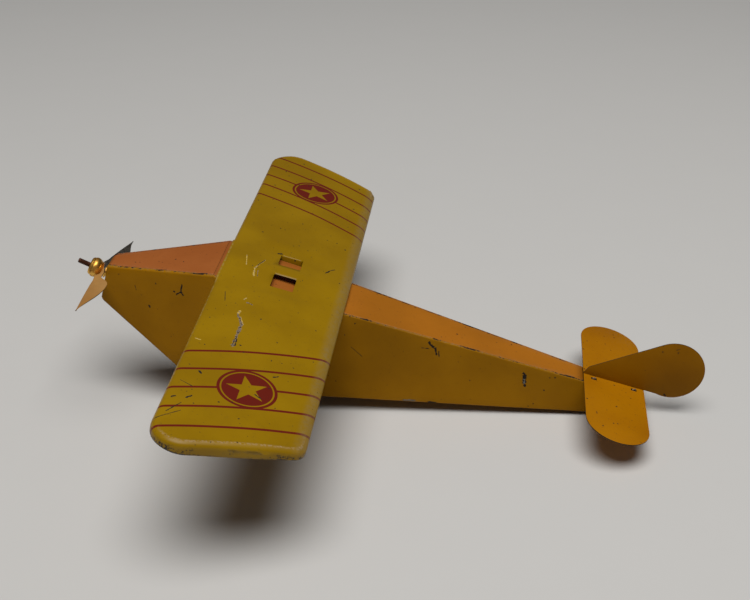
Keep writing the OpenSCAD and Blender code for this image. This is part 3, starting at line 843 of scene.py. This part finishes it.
def make_side(name, side):
    front = [-NOSE_LEN + t for t in (0, 0.3, 0.8, 1.5, CURL)]
    corners = [-4, -3.2, -2.8, -2, 3, 11, 11.8, 12.2, 13, 22,
               TAIL_SEAT_X - 0.5, TAIL_SEAT_X + 0.5, TAIL_X]
    even = [-96 + 8 * i for i in range(63)]
    stations = sorted(front + corners + [x for x in even if x < TAIL_X - 2 and
                                         min(abs(x - m) for m in corners) > 1.5])
    rows = [side_profile(x, side) for x in stations]
    columns = len(rows[0])
    points = [p for row in rows for p in row]
    faces = grid_faces(len(rows), columns, flip=side > 0)
    # The far bend is painted with the deck
    bend = {i * (columns - 1) + j for i in range(len(rows) - 1) for j in range(ORANGE_BEND_FACES)}
    obj = make_piece(name + "_shell", points, faces, "airframe", [mustard, orange],
                     [name], crease=45, layer=("seam", SIDE_SEAM * len(rows)),
                     face_material=lambda polygon: int(side > 0 and polygon.index in bend))
    thicken(obj)


make_side("starboard_side", 1)
make_side("port_side", -1)


def make_deck(name, x0, x1, round_front, holes, node):
    """A top sheet between the side shells' bends, with a small gap along each."""
    def edge_y(x):
        return body_half_width(x) - bend_radius(x) - DECK_GAP - 0.25
    stations = [x0 + (x1 - x0) * i / 40 for i in range(41)]
    cut = [2.2 * (1 - smooth_step((x - x0) / 3)) if round_front else 0 for x in stations]
    right = [(x, edge_y(x) - c) for x, c in zip(stations, cut)]
    shares = (0.93, 0.6, 0.2, -0.2, -0.6, -0.93)
    front = [(right[0][0], right[0][1] * share) for share in shares]
    rear = [(right[-1][0], right[-1][1] * share) for share in shares]
    outline = right[::-1] + front + [(x, -y) for x, y in right] + rear[::-1]
    inner = [(x, y * share) for x, y in right[1:-1] for share in shares]
    inner = [p for p in inner if not any(inside(p, hole) for hole in holes)]
    flat, faces = fill_outline(outline, holes, inner)
    points, seams = [], []
    for x, y in flat:
        off = edge_y(x) - abs(y)
        sag = 0.25 * abs(noise.noise(Vector((x / 30, y / 30, 5.5)))) * smooth_step(off / 6)
        points.append((x, y, line_z(TOP_LINE, x) - 0.05 - sag))
        seams.append(max(0, 1 - off / 1.6) if abs(y) > 3 else 0)
    deck = make_piece(name, points, faces, "airframe", [orange, cut_edge], [node],
                      crease=50, layer=("seam", seams))
    thicken(deck, rim=1)


KNEE_X = -3
TAB_SLOT_GAP = 0.5


def tab_slot(side):
    x0 = WINDOW_X[0] - TAB_SLOT_GAP
    y0 = side * (WINDOW_Y[1] + SHEET / 2) - SHEET / 2 - TAB_SLOT_GAP
    x1, y1 = WINDOW_X[1] + TAB_SLOT_GAP, y0 + SHEET + 2 * TAB_SLOT_GAP
    return [(x0, y0), (x1, y0), (x1, y1), (x0, y1)]


make_deck("nose_deck_sheet", 0.9 - NOSE_LEN, KNEE_X - 0.1, True, (), "nose_deck")
make_deck("main_deck_sheet", KNEE_X + 0.1, TAIL_SEAT_X - 0.4, False,
          (tab_slot(1), tab_slot(-1)), "main_deck")


LUG_X = (TAIL_SEAT_X + 10, TAIL_X - 10)
LUG_Y = 5.05
LUG_TWIST = math.radians(-38)


def make_lugs():
    """The twisted ends of the side shells' lugs, standing in the tailplane's slots."""
    for number, x in enumerate(LUG_X):
        for name, side in (("port", -1), ("starboard", 1)):
            points = []
            for z in (-1.5, -0.2, 0.6, 1.4, 2.0):
                twist = LUG_TWIST * smooth_step((z + 1) / 3)
                for u, v in ((-2.1, -0.45), (2.1, -0.45), (2.1, 0.45), (-2.1, 0.45)):
                    points.append((x + u * math.cos(twist) - v * math.sin(twist),
                                   side * (LUG_Y + u * math.sin(twist) + v * math.cos(twist)),
                                   TAIL_SEAT_Z + z))
            faces = grid_faces(5, 4, closed=True) + [(0, 3, 2, 1), (16, 17, 18, 19)]
            lug = make_piece(f"{name}_lug_{number}", points, faces, "airframe",
                             [pale_tin], closed=True)
            soften(lug, 0.15)


make_lugs()

# ---- Tail ----

TAIL_CHORD = TAIL_X - TAIL_SEAT_X
TAIL_HALF = 100.3
FIN_AT = (TAIL_X + 18, 12.1)
FIN_R = 28.9
FIN_SLOPE = 37.3


def box_loop(x, y, length, width):
    return [(x, y), (x + length, y), (x + length, y + width), (x, y + width)]


def make_tail():
    r = TAIL_CHORD / 2
    outline = arc((TAIL_SEAT_X + r, TAIL_HALF - r), r, 0, 180, 40)
    outline += arc((TAIL_SEAT_X + r, r - TAIL_HALF), r, 180, 360, 40)
    slots = [box_loop(x - 0.2, -0.55, 6.4, 1.1) for x in (TAIL_SEAT_X + 6.7, TAIL_X - 12)]
    slots += [box_loop(x - 2.7, side * LUG_Y - 1.7, 5.4, 3.4) for x in LUG_X for side in (-1, 1)]
    make_plate("tailplane_sheet", outline, slots, lambda p: (p[0], p[1], TAIL_SEAT_Z + SHEET),
               sun_paint, ["tailplane"])
    base = TAIL_SEAT_Z + SHEET
    slope = math.radians(FIN_SLOPE)
    crest = (FIN_AT[0] - FIN_R * math.sin(slope), FIN_AT[1] + FIN_R * math.cos(slope))
    nick_x = TAIL_SEAT_X + 2.8
    nick_z = crest[1] - (crest[0] - nick_x) * math.tan(slope)
    low = math.degrees(math.asin((base - FIN_AT[1]) / FIN_R))
    outline = [(TAIL_SEAT_X, base), (TAIL_X, base), (FIN_AT[0] - 10, base)]
    outline += arc(FIN_AT, FIN_R, -180 - low, 90 + FIN_SLOPE, 64)
    outline += [(nick_x + 0.8, nick_z + 0.6), (nick_x, nick_z), (TAIL_SEAT_X + 0.3, base + 2.6)]
    make_plate("fin_sheet", outline, (), lambda p: (p[0], -SHEET / 2, p[1]),
               fin_paint, ["fin"])


make_tail()

# ---- Propeller ----

BLADE_R = 102
PROP_PLANE = 5.5
# Pitch, and the distance of the front and aft edges from the blade's middle line, by radius
PITCH_AT = [(0, 0), (4, 3), (7, 14), (10, 50), (13, 68), (BLADE_R, 68)]
FRONT_EDGE = [(0, -8), (3, -7), (6, -5.3), (10, -4.7), (16, -3.5), (22, -2.4), (28, -2.0),
              (40, -2.0), (60, -1.6), (80, -0.95), (BLADE_R, -0.15)]
AFT_EDGE = [(0, 7), (4, 6.8), (7, 5.6), (10, 4.1), (12, 3.3), (20.2, 3.3), (21.6, 5.4), (24.6, 8.2),
            (29, 11.0), (34, 12.8), (40, 13.3), (50, 12.9), (60, 11.1), (70, 8.5), (80, 5.3),
            (90, 2.3), (BLADE_R, 0.15)]
# The blades lean back only outside this radius. In front of the bush the strip is nearly flat, and
# as far as the nose's corners it is narrow aft, so that it clears both as it turns
LEAN_FROM = 22
BLADE_SHEET = 0.8
BLADE_BOW = 0.5
# Each blade's heading about the shaft, and how far it leans back: the strip is a little bent
STRIP_HEADING = 9
BLADES = ((math.radians(STRIP_HEADING - 90 - 0.7), 0.028),
          (math.radians(STRIP_HEADING + 90 + 0.9), 0.092))


def along_edge(edge, r):
    """Chord position on a blade's edge at radius r, rounded between its points."""
    spread = min(3.0, 0.25 * r)
    samples = [line_z(edge, min(max(r + t * spread, 0), BLADE_R)) for t in (-1, -0.5, 0, 0.5, 1)]
    return sum(samples) / len(samples)


def make_blades():
    columns, rows = 11, 52
    points, faces = [], []
    for heading, lean in BLADES:
        start = len(points)
        for i in range(rows):
            r = BLADE_R * i / (rows - 1)
            pitch = math.radians(along_edge(PITCH_AT, r))
            front, aft = along_edge(FRONT_EDGE, r), along_edge(AFT_EDGE, r)
            for j in range(columns):
                c = front + (aft - front) * j / (columns - 1)
                off_middle = 2 * j / (columns - 1) - 1
                bow = BLADE_BOW * smooth_step((r - 20) / 20) * (1 - off_middle ** 2)
                across = c * math.cos(pitch) + bow * math.sin(pitch)
                ahead = PROP_PLANE + SHEET - c * math.sin(pitch) + bow * math.cos(pitch)
                ahead -= lean * max(0, r - LEAN_FROM)
                points.append((r * math.cos(heading) - across * math.sin(heading),
                               r * math.sin(heading) + across * math.cos(heading), ahead))
        faces += [tuple(start + k for k in face) for face in grid_faces(rows, columns, flip=True)]
    # The two blades share the points of the middle line
    half = rows * columns
    swap = {half + j: columns - 1 - j for j in range(columns)}
    faces = [tuple(swap.get(k, k) for k in face) for face in faces]
    used = sorted({k for face in faces for k in face})
    new = {k: i for i, k in enumerate(used)}
    obj = make_piece("prop_blades_sheet", [points[k] for k in used],
                     [tuple(new[k] for k in face) for face in faces],
                     "propeller", [prop_paint, blade_back], ["prop_blades"],
                     from_shaft, crease=50)
    thicken(obj, BLADE_SHEET, back=1, rim=1)
    soften(obj, 0.12)


make_blades()

HUB_REAR = 5.6
HUB_LEN = 12.6
ROD_R = 2.4
# Share of the hub's length, and radius
HUB_PROFILE = [(0.0, 4.2), (0.05, 5.0), (0.16, 6.6), (0.22, 7.3), (0.245, 7.05), (0.275, 7.6),
               (0.38, 8.6), (0.5, 9.2), (0.62, 9.4), (0.72, 9.2), (0.785, 8.75), (0.81, 8.35),
               (0.84, 8.5), (0.92, 8.1), (0.98, 7.4), (1.0, 6.8)]


def make_hub():
    """A brass barrel, wider in front, with a crimped ring at each end."""
    profile = [(ROD_R, 0.3), (ROD_R + 0.5, 0)] + [(r, HUB_LEN * t) for t, r in HUB_PROFILE]
    profile += [(5.9, HUB_LEN - 0.5), (ROD_R + 1.4, HUB_LEN - 0.5), (ROD_R + 1.0, HUB_LEN - 0.1),
                (ROD_R + 0.3, HUB_LEN - 0.1), (ROD_R, HUB_LEN - 0.5)]
    lathe("prop_hub_barrel", [(r, h + HUB_REAR) for r, h in profile], from_shaft, "propeller",
          brass, ["prop_hub"], steps=64)


make_hub()


def make_stud():
    """The stud, with its thread cut where it shows in front of the hub."""
    steps, pitch, depth = 28, 1.06, 0.36
    back, front, thread_from = -29, 30, 18.5
    heights = [back, back + 0.4, thread_from]
    rings = int((front - thread_from) / (pitch / 8))
    heights += [thread_from + (front - thread_from) * (i + 1) / rings for i in range(rings)]
    points = []
    for h in heights:
        for i in range(steps):
            a = 2 * math.pi * i / steps
            r = ROD_R
            if h > thread_from:
                turn = (h / pitch - i / steps) % 1
                r -= depth * abs(2 * turn - 1) ** 1.3
            if h > front - 0.7:
                r = min(r, ROD_R - 0.9 * (h - front + 0.7))
            if h < back + 0.2:
                r -= 0.4
            points.append((r * math.cos(a), r * math.sin(a), h))
    faces = grid_faces(len(heights), steps, closed=True)
    last = (len(heights) - 1) * steps
    faces += [tuple(range(steps))[::-1], tuple(range(last, last + steps))]
    make_piece("prop_stud_thread", points, faces, "propeller",
               [rusty], ["prop_stud"],
               from_shaft, crease=60, closed=True)


make_stud()

# ---- Wheels ----

WHEEL_R = 30
RIM_R = 22
TYRE_HALF = 6
TUBE_R = 4.2


def wheel_place(side):
    centre = Vector(joints[f"{side}_wheel_spin"]["pos_m"])
    out = -1 if side == "port" else 1

    def place(p):
        return centre + Vector((p[0], out * p[2], p[1])) * MM
    return place


def disc_profile():
    """One dished half of a wheel, with two pressed rings, from the tube to the rim."""
    face = [(TUBE_R, 5.3), (7.4, 5.3), (8.6, 5.0), (10.6, 3.3), (12.2, 3.1), (13.2, 3.7),
            (14.2, 3.1),
            (16.8, 3.1), (18.2, 3.7), (19.6, 4.4), (RIM_R - 1, 4.6), (RIM_R - 0.1, 4.2)]
    back = [(r, h - SHEET) for r, h in reversed(face[:-2])]
    return face + [(RIM_R - 0.1, 0.1), (RIM_R - SHEET, 0.1), (RIM_R - SHEET, 3.5)] + back


def tyre_profile():
    """Rounded section with a ridge on each wall and three grooves in the tread."""
    right = [(RIM_R, 4.5), (RIM_R + 0.8, TYRE_HALF - 0.7), (RIM_R + 2.4, TYRE_HALF - 0.25),
             (RIM_R + 2.9, TYRE_HALF), (RIM_R + 3.6, TYRE_HALF), (RIM_R + 4.1, TYRE_HALF - 0.3)]
    right += [(WHEEL_R - 3.5 + 3.5 * math.sin(a), TYRE_HALF - 3.6 + 3.3 * math.cos(a))
              for a in (math.radians(t) for t in (15, 32, 50, 68, 82))]
    tread = [(WHEEL_R, 2.0), (WHEEL_R - 0.5, 1.8), (WHEEL_R - 0.5, 1.4), (WHEEL_R, 1.2),
             (WHEEL_R, 0.3), (WHEEL_R - 0.5, 0.2)]
    half = right + tread
    return half + [(r, -h) for r, h in reversed(half)]


def make_wheel(side):
    place = wheel_place(side)
    body = f"{side}_wheel"
    mirrored = [(r, -h) for r, h in reversed(disc_profile())]
    lathe(f"{side}_outer_disc_pressing", disc_profile(), place, body, wheel_paint,
          [f"{side}_outer_disc"])
    lathe(f"{side}_inner_disc_pressing", mirrored, place, body, wheel_paint,
          [f"{side}_inner_disc"])
    lathe(f"{side}_tyre_moulding", tyre_profile(), place, body, tyre_rubber,
          [f"{side}_tyre"], steps=96)


for wheel_side in ("port", "starboard"):
    make_wheel(wheel_side)

# ---- Studio ----

CAMERA_AT = (0.1005, -1.0403, 0.6748)
CAMERA_DOWN = 28.564
CAMERA_HEADING = 6.243
LENS = 61.958
FLOOR_HALF = 9
WORLD_STRENGTH = 0.05


def make_camera():
    data = bpy.data.cameras.new("camera")
    data.lens = LENS
    data.sensor_width = 36
    data.clip_end = 60
    camera = bpy.data.objects.new("camera", data)
    camera.location = CAMERA_AT
    camera.rotation_euler = (math.radians(90 - CAMERA_DOWN), 0, math.radians(CAMERA_HEADING))
    bpy.context.scene.collection.objects.link(camera)
    bpy.context.scene.camera = camera


def area_light(name, at, aim, size, power, colour, spread):
    data = bpy.data.lights.new(name, "AREA")
    data.shape = "ELLIPSE"
    data.size, data.size_y = size
    data.spread = math.radians(spread)
    data.energy = power
    data.color = colour
    lamp = bpy.data.objects.new(name, data)
    lamp.location = at
    lamp.rotation_euler = (Vector(aim) - Vector(at)).to_track_quat("-Z", "Y").to_euler()
    bpy.context.scene.collection.objects.link(lamp)


def make_floor():
    half = FLOOR_HALF
    corners = [(-half, -half, 0), (half, -half, 0), (half, half, 0), (-half, half, 0)]
    mesh = bpy.data.meshes.new("floor")
    mesh.from_pydata(corners, [], [(0, 1, 2, 3)])
    floor = bpy.data.objects.new("floor", mesh)
    bpy.context.scene.collection.objects.link(floor)
    g = Graph("floor_paper")
    g.plug(g.mix(g.noise(60, 3, 0.5), (0.60, 0.590, 0.575, 1), (0.61, 0.600, 0.585, 1)),
           g.shader.inputs["Base Color"])
    g.shader.inputs["Roughness"].default_value = 0.9
    mesh.materials.append(g.material)


def make_world():
    world = bpy.data.worlds.new("studio")
    world.use_nodes = True
    back = world.node_tree.nodes["Background"]
    back.inputs["Color"].default_value = (0.96, 0.98, 1, 1)
    back.inputs["Strength"].default_value = WORLD_STRENGTH
    bpy.context.scene.world = world


make_camera()
make_floor()
make_world()
area_light("overhead", (0.22, -1.18, 4.2), (0, 0, 0), (3.9, 2.9), 100, (1, 0.99, 0.97), 130)
bpy.context.scene.view_settings.view_transform = "Standard"
